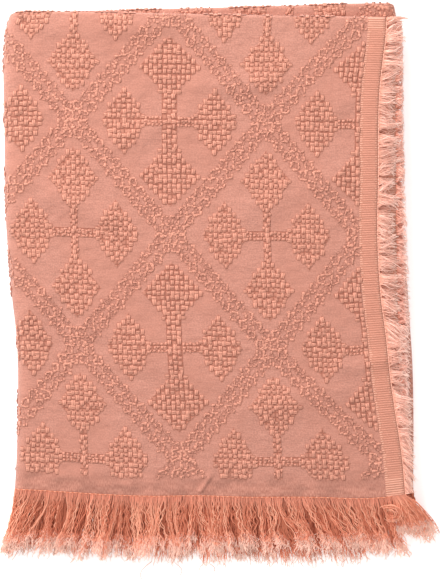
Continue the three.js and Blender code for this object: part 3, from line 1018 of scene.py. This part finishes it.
def makeFloats():
    rng = np.random.default_rng(relief["seed"])
    rows = floatRows(rng)

    def amount(key):
        return np.array(relief[key])[rows[:, 8].astype(int)]

    u = rows[:, 0] + rng.normal(0, 1, len(rows)) * amount("jitter")
    v = rows[:, 1] + rng.normal(0, 1, len(rows)) * amount("jitter")
    places, alongU, alongV, out = onCloth(u, v, np.full(len(rows), cloth["thickness"] / 2))
    # none under the stack, where they would sink into the floor
    keep = out[:, 2] > -0.5
    places, alongU, alongV, out, rows = (values[keep] for values in (places, alongU, alongV, out, rows))
    lies = rows[:, 7:8] > 0
    tilt = (rng.normal(0, 1, len(rows)) * amount("tilt"))[:, None]
    lengthWay = np.where(lies, alongU, alongV) + tilt * np.where(lies, alongV, alongU)
    lengthWay /= np.linalg.norm(lengthWay, axis=1, keepdims=True)
    widthWay = np.cross(lengthWay, out)
    # the turn that takes x, y, z to the width, the length and out of the cloth
    turn = np.stack([
        np.arctan2(lengthWay[:, 2], out[:, 2]),
        -np.arcsin(np.clip(widthWay[:, 2], -1, 1)),
        np.arctan2(widthWay[:, 1], widthWay[:, 0]),
    ], -1)
    stretch = 1 + rng.normal(0, 1, (len(rows), 3)) * amount("stretch")[:, None]
    mesh = pointMesh("floatPoints", places, [], {
        "turn": turn, "size": rows[:, 2:5] * stretch * mm, "tone": rows[:, 5], "wide": rows[:, 6]})
    shape = pillowObject()
    settings = {
        "Float": shape, "Unevenness": relief["unevenness"], "Seed": relief["seed"], "Finish": floatLook}
    piece = applyTree("raisedFloats", mesh, floatNodes, settings, floatLook)
    bpy.data.objects.remove(shape)
    return piece


floatPiece = makeFloats()

# fringes

warpYarn = {
    # mm between yarns along the edge
    "topSpacing": 0.52,
    "lastSpacing": 0.78,
    "hiddenSpacing": 1.55,
    "topPoints": 14,
    "lastPoints": 10,
    "hiddenPoints": 7,
    "radius": 0.4,
    "radiusSpread": (0.75, 1.2),
    "topTaper": (1.0, 0.65),  # at the root and at the tip
    "hiddenTaper": (2.5, 0.7),
    "lengthSpread": (0.86, 1.04),
    "crimp": 1.05,
    "crimpSpread": (0.6, 1.3),
    "crimpLength": 9.0,
    "crimpLengthSpread": (0.93, 1.08),
    "tuftWidth": 7.0,
    "gather": 0.6,
    "hiddenGather": 0.21,
    "gatherMost": 4.0,
    # how far yarns and tufts stray sideways, in mm
    "drift": 1.5,
    "waver": 1.1,
    "swing": 2.0,
    "bend": 2.6,
    "heap": 0.8,  # how high tufts lie over each other
    "topTipFibres": 10,
    "lastTipFibres": 4,
    "hiddenTipFibres": 2,
    "tipFrom": 0.78,
    "tipReach": (2.0, 6.0),
    "tipRadius": 0.34,
    "tipRadiusSpread": (0.6, 1.2),
    "cordRadius": 0.45,
    "seed": 5,
    # sideways flow of the front yarns at their tips, by place along the hem
    "flowAt": [-12, 0, 35, 77, 120, 150, 180, 205, 230, 262, 280, 289, 291, 303],
    "flow": [-10, -8, -5, -3, 0, 3, 6, 10, 16, 20, 15, 10, 9, 23],
    "flowPower": 1.15,
    # the folds below lie straighter, but flare at both ends of the stack
    "leftEnd": 4.0,
    "leftFlow": 0.9,
    "belowFlow": 0.3,
    "rightEnd": 297.0,
    "rightFlare": 9.0,
    # share of the full length of the front yarns, by place along the hem
    "fullAt": [-12, 100, 140, 205, 230, 285, 289, 291, 303],
    "full": [1.02, 1.0, 0.92, 0.87, 0.91, 0.96, 0.97, 0.7, 0.86],
    "fullBelow": [1.02, 1.02, 1.04, 1.08, 1.06, 1.0, 0.94, 0.7, 0.7],
    # places where the front yarns part: middle, from and to along the yarn, half width, mm
    "partings": [
        (12, 0.04, 0.45, 2.0), (31, 0.1, 0.7, 2.6), (47, 0.15, 0.62, 1.8), (61, 0.25, 0.55, 1.3),
        (88, 0.3, 0.8, 1.2), (112, 0.1, 0.5, 1.3), (130, 0.4, 0.9, 1.4), (146, 0.15, 0.55, 1.9),
        (168, 0.4, 0.9, 1.6), (186, 0.3, 0.7, 1.3), (211, 0.05, 0.42, 2.4), (206, 0.45, 1.15, 6.5),
        (246, 0.3, 0.7, 1.6), (259, 0.15, 0.5, 1.4), (272, 0.4, 0.9, 1.8), (290, 0.6, 1.4, 1.6),
    ],
    # the tuft that sweeps out from the front corner: its roots, its turn away from straight down
    "corner": {
        "from": 291.5, "to": 302.0, "leastTurn": 0.2, "mostTurn": 0.6, "length": 37.0, "yarns": 110,
        "tipFibres": 9,
    },
    # a tuft curled on itself near the front corner
    "curl": {"x": 290.5, "y": -13.5, "radius": 8.2, "yarns": 22, "lift": 3.6, "thin": 0.55},
    # single long threads that lie on the floor: where they start, how far they reach, which way they bend
    "strays": [
        (112, -57, 19, 1), (131, -58, 12, -1), (157, -58, 9, 1), (161, -59, 8, -1), (277, -55, 8, 1),
    ],
    "strayRadius": 0.2,
    "strayHeight": 0.35,
}
sideYarn = {
    "points": 7,
    "radius": 0.29,
    "radiusSpread": (0.65, 1.3),
    "cordRadius": 0.5,
    "hiddenFibres": 5,
    # the selvedge that lies in front, and the other one
    "front": {
        "spacing": 7.4, "topFibres": 31, "fibreReach": (0.6, 1.3), "inward": 0.15, "hiddenInward": 0.15},
    "inner": {
        "spacing": 4.5, "topFibres": 14, "fibreReach": (0.6, 1.1), "inward": -1.4, "hiddenInward": 0.0},
    "innerLength": 9.0,
    # a tuft and its locks, in shares of the tufts' spacing
    "locks": 3,
    "tuftSpread": 0.28,
    "lockSpread": 0.3,
    "rootSpread": 0.13,
    # how much they differ
    "leanSpread": 2.6,
    "reachSpread": (0.68, 1.15),
    "heap": (-0.2, 1.8),
    # how far a tuft leans along the edge, and how much of its length stands out
    "slantAt": [0, 40, 120, 300, 385, 404],
    "slant": [-10, -8, -3, -1, 2.5, 8],
    "reachAt": [0, 30, 70, 150, 408],
    "reach": [0.5, 0.62, 0.8, 0.95, 1.0],
    # tips in front sink onto the cloth below, from this layer up
    "droop": 4.2,
    "droopFrom": 11.5,
    "droopLayers": 4.0,
    # fibres of the inner selvedge hang down past the folds below it
    "hangAt": 322.2,
    "hangReach": (2.4, 5.4),
    "hangDrop": 1.1,
    "seed": 23,
}


def chainEdges(count, points):
    starts = np.arange(count * points).reshape(count, points)
    return np.stack([starts[:, :-1].ravel(), starts[:, 1:].ravel()], -1)


def makeYarns(name, chains, look):
    points, edges, thick, share, tone = [], [], [], [], []
    reached = 0
    for places, radius, shares, tones in chains:
        count, length = places.shape[:2]
        points.append(places.reshape(-1, 3))
        edges.append(chainEdges(count, length) + reached)
        thick.append(np.broadcast_to(radius, (count, length)).ravel())
        share.append(np.broadcast_to(shares, (count, length)).ravel())
        tone.append(np.broadcast_to(tones, (count, length)).ravel())
        reached += count * length
    points = np.concatenate(points)
    thick = np.concatenate(thick)
    points[:, 2] = np.maximum(points[:, 2], thick + 0.0001)
    mesh = pointMesh(name + "Chains", points, np.concatenate(edges).tolist(), {
        "thick": thick, "share": np.concatenate(share), "tone": np.concatenate(tone)})
    return applyTree(name, mesh, yarnNodes, {"Sides": 4, "Thickness": 1.0, "Finish": look}, look)


def tuftValues(tuft, seed, spread, middle=0.0):
    # the same random value for every yarn of a tuft
    values = np.random.default_rng(seed).normal(middle, spread, 400)
    return values[tuft % 400][:, None]


def drawsFor(rng, count):
    # two ways to draw one random value for every yarn, as a column
    def each(low, high):
        return rng.uniform(low, high, count)[:, None]

    def eachNormal(size):
        return rng.normal(0, size, count)[:, None]

    return each, eachNormal


def layWarpYarns(root, points, edgeV, outward, onTop, seed):
    # flat places, lifts and the rest of yarns that start at these places of the edge
    each, eachNormal = drawsFor(np.random.default_rng(seed), len(root))
    share = np.linspace(0, 1, points)[None, :]
    x, _, heading = walk(widthPath, root)
    x, way = x[:, None], np.where(np.cos(heading) < 0, -1, 1)[:, None]
    tuft = np.floor(root / warpYarn["tuftWidth"] + 0.6 * np.sin(root * 0.21)).astype(int)
    root = root[:, None]

    def ofTuft(step, size):
        return tuftValues(tuft, seed + step, size)

    flow = np.interp(x, warpYarn["flowAt"], warpYarn["flow"])
    if not onTop:
        flow = flow * np.where(x < warpYarn["leftEnd"], warpYarn["leftFlow"], warpYarn["belowFlow"])
        flow = flow + warpYarn["rightFlare"] * ease((x - warpYarn["rightEnd"]) / 5)
    length = fringes["warpLength"] * (1 + ofTuft(1, 0.05)) * each(*warpYarn["lengthSpread"])
    length = length * np.interp(x, warpYarn["fullAt"], warpYarn["full" if onTop else "fullBelow"])
    out = 0.2 + share * np.sqrt(np.maximum(length ** 2 - flow ** 2, 300))

    # yarns draw together in tufts, and neighbours wave together
    tuftMiddle = (tuft[:, None] + 0.5) * warpYarn["tuftWidth"]
    most = warpYarn["gatherMost"]
    pull = ease(share * 1.1) * np.clip(tuftMiddle - root, -most, most)
    pull = pull * warpYarn["gather" if onTop else "hiddenGather"]
    phase = 1.7 * np.sin(root * 0.7) + 0.9 * np.sin(root * 1.9 + 1.0) + eachNormal(0.5)
    strength = warpYarn["crimp"] * (0.85 + 0.45 * np.sin(root * 0.43 + 2.0)) * each(*warpYarn["crimpSpread"])
    pace = warpYarn["crimpLength"] * (1 + 0.15 * np.sin(root * 0.33))
    pace = pace * each(*warpYarn["crimpLengthSpread"])
    wave = 2 * math.pi * out / pace + phase
    crimp = strength * ease(share * 4.0) * np.sin(wave)
    drift = eachNormal(warpYarn["drift"]) * share
    drift = drift + eachNormal(warpYarn["waver"]) * np.sin(share * 4.0 + each(0, 6)) * share
    swing = ofTuft(2, warpYarn["swing"]) * np.sin(share * 5.0 + ofTuft(3, 3.0)) * ease(share * 1.5)
    bend = ofTuft(4, warpYarn["bend"]) * share ** 1.3
    flowShare = share ** warpYarn["flowPower"]
    u = root + pull + bend + crimp + drift + swing + way * flow * flowShare
    if onTop:
        for middleX, fromShare, toShare, half in warpYarn["partings"]:
            leanHere = np.interp(middleX, warpYarn["flowAt"], warpYarn["flow"]) * flowShare
            away = u - frontU - middleX - leanHere
            opened = np.sin(math.pi * np.clip((share - fromShare) / (toShare - fromShare), 0, 1))
            side = np.where(root - frontU < middleX, -1, 1)
            u = u + half * opened * np.exp(-np.abs(away) / (2.2 * half)) * side
    u = np.clip(u, -8, cloth["width"] + 30)
    v = edgeV + outward * out + np.zeros_like(u)

    size = 1.0 if onTop else 0.35
    heap = np.abs(ofTuft(5, warpYarn["heap"]))
    lift = heap * np.sin(math.pi * np.clip(share, 0, 0.92)) * 1.3 * size
    lift = lift + each(-0.5, 1.0) * (0.3 + share) * size
    lift = lift + 0.6 * strength * ease(share * 3) * np.cos(wave + 1.0) * size
    thick, thin = warpYarn["topTaper" if onTop else "hiddenTaper"]
    taper = thick + (thin - thick) * share
    radius = warpYarn["radius"] * taper * each(*warpYarn["radiusSpread"]) * mm
    tones = 0.2 + 0.8 * each(0, 1)
    if not onTop:
        # painted shade: dark below the front yarns, lighter again at the tips
        tones = tones * 0.4 - 0.25 + 0.5 * ease((share - 0.75) * 4)
    return u, v, lift, radius, share, tones + ofTuft(6, 0.12)


def layTipFibres(u, v, lift, tones, outward, fibresEach, seed):
    # short fibres that stand off the last part of every yarn
    rng = np.random.default_rng(seed)
    count, points = u.shape
    take = np.repeat(np.arange(count), fibresEach)
    many = len(take)
    each, eachNormal = drawsFor(rng, many)
    fine = np.linspace(0, 1, 3)[None, :]
    start = rng.integers(int(points * warpYarn["tipFrom"]), points, many)
    swing = eachNormal(1.4)
    curl = eachNormal(0.9)
    reach = each(*warpYarn["tipReach"])
    fibreU = u[take, start][:, None] + swing * fine + curl * fine * (1 - fine) * 4
    fibreV = v[take, start][:, None] + outward * fine * reach
    fibreLift = lift[take, start][:, None] + each(-0.4, 1.0) * fine
    radius = warpYarn["tipRadius"] * (1 - 0.45 * fine) * each(*warpYarn["tipRadiusSpread"]) * mm
    startShare = start[:, None] / (points - 1)
    share = startShare + (1.02 - startShare) * fine
    return onCloth(fibreU, fibreV, fibreLift)[0], radius, share, tones[take, -1:]


def edgeRoots(path, total, topRun, topSpacing, hiddenSpacing, seed):
    # roots of the fringe's yarns on the run that shows and on all the others
    rng = np.random.default_rng(seed)
    top, hidden = [], []
    ends = list(path["start"][1:]) + [total]
    for index, (start, end) in enumerate(zip(path["start"], ends)):
        showing = index in topRun
        gap = topSpacing if showing else hiddenSpacing
        count = max(2, int((end - start) / gap))
        roots = np.linspace(start, end, count, endpoint=False) + rng.uniform(0, gap, count)
        (top if showing else hidden).append(roots)
    return np.concatenate(top) if top else np.zeros(0), np.concatenate(hidden)


def makeWarpFringe(name, edgeV, outward, isFront, seed):
    kind = "top" if isFront else "last"
    spacing = warpYarn[kind + "Spacing"]
    top, hidden = edgeRoots(widthPath, cloth["width"], (5, 6), spacing, warpYarn["hiddenSpacing"], seed)
    chains, tips = [], []
    for roots, points, onTop, fibres in (
        (top, kind + "Points", isFront, kind + "TipFibres"),
        (hidden, "hiddenPoints", False, "hiddenTipFibres"),
    ):
        u, v, lift, radius, share, tones = layWarpYarns(
            roots, warpYarn[points], edgeV, outward, onTop, seed + len(chains))
        chains.append((onCloth(u, v, lift)[0], radius, share, tones))
        fibreEnds = layTipFibres(u, v, lift, tones, outward, warpYarn[fibres], seed + 9)
        (tips if onTop else chains).append(fibreEnds)

    # the corded edge where the hem ends; its tone rises and falls along it, painted light and shade of its
    # twist
    cordU = np.arange(0, cloth["width"] + 1, 1.6)[None, :]
    cordV = np.full(cordU.shape, edgeV + outward * 0.35)
    cordLift = (0.42 + 0.1 * np.sin(cordU * 2.1)) * (-outward)
    cordTwistShade = 0.5 + 0.4 * np.sin(cordU * 2.4)
    chains.append((onCloth(cordU, cordV, cordLift)[0], warpYarn["cordRadius"] * mm, 0.92, cordTwistShade))
    if not isFront:
        return makeYarns(name, chains, warpYarnLook)

    u, v, lift, radius, share, tones = layCorner(seed)
    chains += [layCurl(seed), layStrays(), (onCloth(u, v, lift)[0], radius, share, tones)]
    tips.append(layTipFibres(u, v, lift, tones, outward, warpYarn["corner"]["tipFibres"], seed + 12))
    return makeYarns(name, chains, warpYarnLook), makeYarns("fringeTips", tips, tipYarnLook)


def layCorner(seed):
    corner = warpYarn["corner"]
    rng = np.random.default_rng(seed)
    each, eachNormal = drawsFor(rng, corner["yarns"])
    share = np.linspace(0, 1, 12)[None, :]
    place = np.sort(rng.random(corner["yarns"]))[:, None]
    root = corner["from"] + (corner["to"] - corner["from"]) * place
    turn = corner["leastTurn"] + (corner["mostTurn"] - corner["leastTurn"]) * place + eachNormal(0.06)
    length = corner["length"] * (0.84 + 0.2 * place) * each(0.85, 1.05)
    crimp = eachNormal(0.8) * np.sin(share * 9 + each(0, 6)) * ease(share * 3)
    # the yarns leave the hem more level and then droop
    angle = turn * (1 + 0.5 * (1 - share))
    u = frontU + root + length * share * np.sin(angle) + crimp
    v = -length * share * np.cos(angle) + 0.5 * crimp
    lift = 0.8 + each(0, 1.6) * np.sin(share * 2.6)
    radius = warpYarn["radius"] * (1 - 0.35 * share) * each(*warpYarn["radiusSpread"]) * mm
    return u, v, lift, radius, share, each(0, 1)


def layCurl(seed):
    curl = warpYarn["curl"]
    each, eachNormal = drawsFor(np.random.default_rng(seed), curl["yarns"])
    turn = np.linspace(0, 1, 22)[None, :]
    angle = each(1.3, 2.4) - turn * each(2.8, 4.4)
    radius = curl["radius"] * each(0.35, 1.25) * (1 - 0.25 * turn)
    u = frontU + curl["x"] + radius * np.cos(angle) + eachNormal(1.0)
    v = curl["y"] + 0.8 * radius * np.sin(angle) + eachNormal(0.9)
    lift = curl["lift"] * np.sin(math.pi * np.clip(turn * 0.9 + 0.1, 0, 1)) + each(0, 0.8)
    return onCloth(u, v, lift)[0], warpYarn["radius"] * curl["thin"] * mm, 0.5, each(0.35, 1.1)


def layStrays():
    turn = np.linspace(0, 1, 16)
    angle = 1.4 + turn * 2.6
    height = np.full(len(turn), warpYarn["strayHeight"])
    places = []
    for x, y, reach, way in warpYarn["strays"]:
        across = x + way * 0.45 * reach * (np.cos(angle) - math.cos(angle[0]))
        along = y - reach * turn * 0.9
        places.append(np.stack([across - cloth["centreX"], along - cloth["centreY"], height], -1) * mm)
    return np.stack(places), warpYarn["strayRadius"] * mm, 0.95, 0.5


def laySideYarns(rng, start, end, kind, longest, onTop):
    # places along the edge, lengths and lifts of the tufts on one run of it
    spacing, locks = kind["spacing"], sideYarn["locks"]
    share = np.linspace(0, 1, sideYarn["points"])[None, :]
    middles = np.arange(start + 2, end - 1, spacing)
    tufts = len(middles)
    middles = middles + rng.uniform(-sideYarn["tuftSpread"], sideYarn["tuftSpread"], tufts) * spacing
    alongStack, _, heading = walk(lengthPath, middles)
    way = np.where(np.cos(heading) < 0, -1, 1)
    slant = np.interp(alongStack, sideYarn["slantAt"], sideYarn["slant"])
    slant = slant + rng.normal(0, sideYarn["leanSpread"], tufts)
    lockLean = rng.normal(0, sideYarn["leanSpread"], (tufts, locks))
    reach = np.interp(alongStack, sideYarn["reachAt"], sideYarn["reach"])
    reach = reach * rng.uniform(*sideYarn["reachSpread"], tufts)
    heap = rng.uniform(*sideYarn["heap"], tufts)

    take = np.repeat(np.arange(tufts), kind["topFibres"] if onTop else sideYarn["hiddenFibres"])
    count = len(take)
    lock = rng.integers(0, locks, count)
    rootV = middles[take] + (lock - 1) * sideYarn["lockSpread"] * spacing
    rootV = rootV + rng.normal(0, sideYarn["rootSpread"] * spacing, count)
    length = longest * reach[take] * rng.uniform(*kind["fibreReach"], count)
    curl = rng.normal(0, 1.2, count) + rng.normal(0, 1.8, (tufts, locks))[take, lock]
    pull = 0.6 * (middles[take] - rootV)
    sideways = way[take] * (slant[take] + lockLean[take, lock] + rng.normal(0, 1.3, count)) + pull
    wave = rng.uniform(0, 6, (tufts, locks))[take, lock] + rng.normal(0, 0.8, count)
    v = rootV[:, None] + sideways[:, None] * share ** 1.2
    v = v + curl[:, None] * np.sin(share * 4.2 + wave[:, None]) * share
    height = (heap[take] + rng.normal(0, 0.5, count))[:, None] * (0.9 if onTop else 0.25)
    return v, length[:, None], height * np.sin(share * 2.4), share


def hangDown(places, reachOver):
    y = places[:, :, 1] / mm + cloth["centreY"]
    edge = (sideYarn["hangAt"] + readTable(lean, "y", y, "fold") - cloth["centreX"]) * mm
    over = np.maximum(places[:, :, 0] - edge, 0)
    bent = reachOver * (1 - np.exp(-over / reachOver))
    places[:, :, 0] -= over - bent
    places[:, :, 2] -= (over - bent) * sideYarn["hangDrop"]


def makeSideFringe(name, edgeU, outward, topRun, seed):
    rng = np.random.default_rng(seed)
    starts = lengthPath["start"]
    ends = list(starts[1:]) + [cloth["length"]]
    isFront = outward > 0
    kind = sideYarn["front" if isFront else "inner"]
    longest = fringes["sideLength"] if isFront else sideYarn["innerLength"]
    chains = []
    for index, (start, end) in enumerate(zip(starts, ends)):
        if lengthPath["side"][index]:
            continue
        onTop = index == topRun
        v, length, lift, share = laySideYarns(rng, start, end, kind, longest, onTop)
        each, _ = drawsFor(rng, len(v))
        inward = kind["inward" if onTop else "hiddenInward"]
        u = edgeU + outward * (inward + share * (length - inward))
        if onTop and not isFront:
            lift = lift + 0.7 * (1 - share)
        v = np.clip(v, start - 3 if index else 0.5, end + 3 if end < cloth["length"] else end - 0.5)
        places = onCloth(u, v, lift)[0]
        if isFront:
            level = places[:, :1, 2] / mm / layerPitch - sideYarn["droopFrom"]
            sink = np.clip(level / sideYarn["droopLayers"], 0, 1)
            places[:, :, 2] -= sideYarn["droop"] * mm * sink * share ** 1.6
        else:
            hangDown(places, each(*sideYarn["hangReach"]) * mm)
        radius = sideYarn["radius"] * (1 - 0.45 * share) * each(*sideYarn["radiusSpread"]) * mm
        # painted shade: the tufts of the folds below are darker
        tones = each(0, 1) * (1.0 if onTop else 0.6)
        chains.append((places, radius, share, tones))
        if onTop and isFront:
            # the cord's tone rises and falls along it, painted light and shade of its twist
            cordV = np.arange(start, end, 1.5)[None, :]
            cordU = np.full(cordV.shape, edgeU + outward * 0.2)
            cord = onCloth(cordU, cordV, 0.35 + 0.1 * np.sin(cordV * 2.3))[0]
            chains.append((cord, sideYarn["cordRadius"] * mm, 0.15, 0.6 + 0.4 * np.sin(cordV * 1.9)))
    return makeYarns(name, chains, sideYarnLook if isFront else shadedInnerYarnLook)


warpFirst, fringeTips = makeWarpFringe("warpYarnFirst", 0.0, -1.0, True, warpYarn["seed"])
warpLast = makeWarpFringe("warpYarnLast", cloth["length"], 1.0, False, warpYarn["seed"] + 40)
sideFront = makeSideFringe("sideYarnFront", cloth["width"], 1.0, 0, sideYarn["seed"])
sideInner = makeSideFringe("sideYarnInner", 0.0, -1.0, 2, sideYarn["seed"] + 40)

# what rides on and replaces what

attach(clothPiece, "root")
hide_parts("cloth")
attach(floatPiece, "root")
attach(fringeTips, "root")
for piece, node in (
    (warpFirst, "warp_fringe_first"), (warpLast, "warp_fringe_last"),
    (sideFront, "side_fringe_front"), (sideInner, "side_fringe_inner"),
):
    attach(piece, "root")
    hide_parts(node)

# floor and light

studio = {
    "floorHalf": 4.0,
    "floorHeight": -0.0004,
    "floorRoughness": 0.85,
    "floorColour": (253, 253, 253),
    "floorGlow": 0.4,
    "keyPower": 31.0,
    "keySize": 0.9,
    "keyPlace": (-1.1, 1.0, 1.5),
    "fillPower": 10.0,
    "fillSize": 2.5,
    "fillPlace": (0.8, -0.6, 2.2),
    "rimPower": 14.0,
    "rimSize": 0.8,
    "rimPlace": (-0.5, 1.5, 0.6),
    "skyColour": (250, 248, 246),
    "skyStrength": 0.62,
}


def makeStudio(setup):
    mesh = bpy.data.meshes.new("floor")
    half, height = setup["floorHalf"], setup["floorHeight"]
    corners = [(-half, -half, height), (half, -half, height), (half, half, height), (-half, half, height)]
    mesh.from_pydata(corners, [], [(0, 1, 2, 3)])
    floor = bpy.data.objects.new("floor", mesh)
    bpy.context.scene.collection.objects.link(floor)
    shade = Shade("paleFloor", setup["floorRoughness"], 0.0)
    mesh.materials.append(shade.finish(linearColour(*setup["floorColour"])))
    shade.shader.inputs["Emission Color"].default_value = (1, 1, 1, 1)
    shade.shader.inputs["Emission Strength"].default_value = setup["floorGlow"]
    for name in ("key", "fill", "rim"):
        light = bpy.data.lights.new(name, "AREA")
        light.energy = setup[name + "Power"]
        light.size = setup[name + "Size"]
        lamp = bpy.data.objects.new(name, light)
        lamp.location = setup[name + "Place"]
        towards = -np.array(setup[name + "Place"])
        lamp.rotation_euler = (
            math.atan2(math.hypot(towards[0], towards[1]), -towards[2]), 0,
            math.atan2(towards[1], towards[0]) - math.pi / 2)
        bpy.context.scene.collection.objects.link(lamp)
    world = bpy.data.worlds.new("studio")
    world.use_nodes = True
    sky = world.node_tree.nodes["Background"]
    sky.inputs["Color"].default_value = linearColour(*setup["skyColour"])
    sky.inputs["Strength"].default_value = setup["skyStrength"]
    bpy.context.scene.world = world
    bpy.context.scene.view_settings.view_transform = "Standard"


makeStudio(studio)
print("studio made")
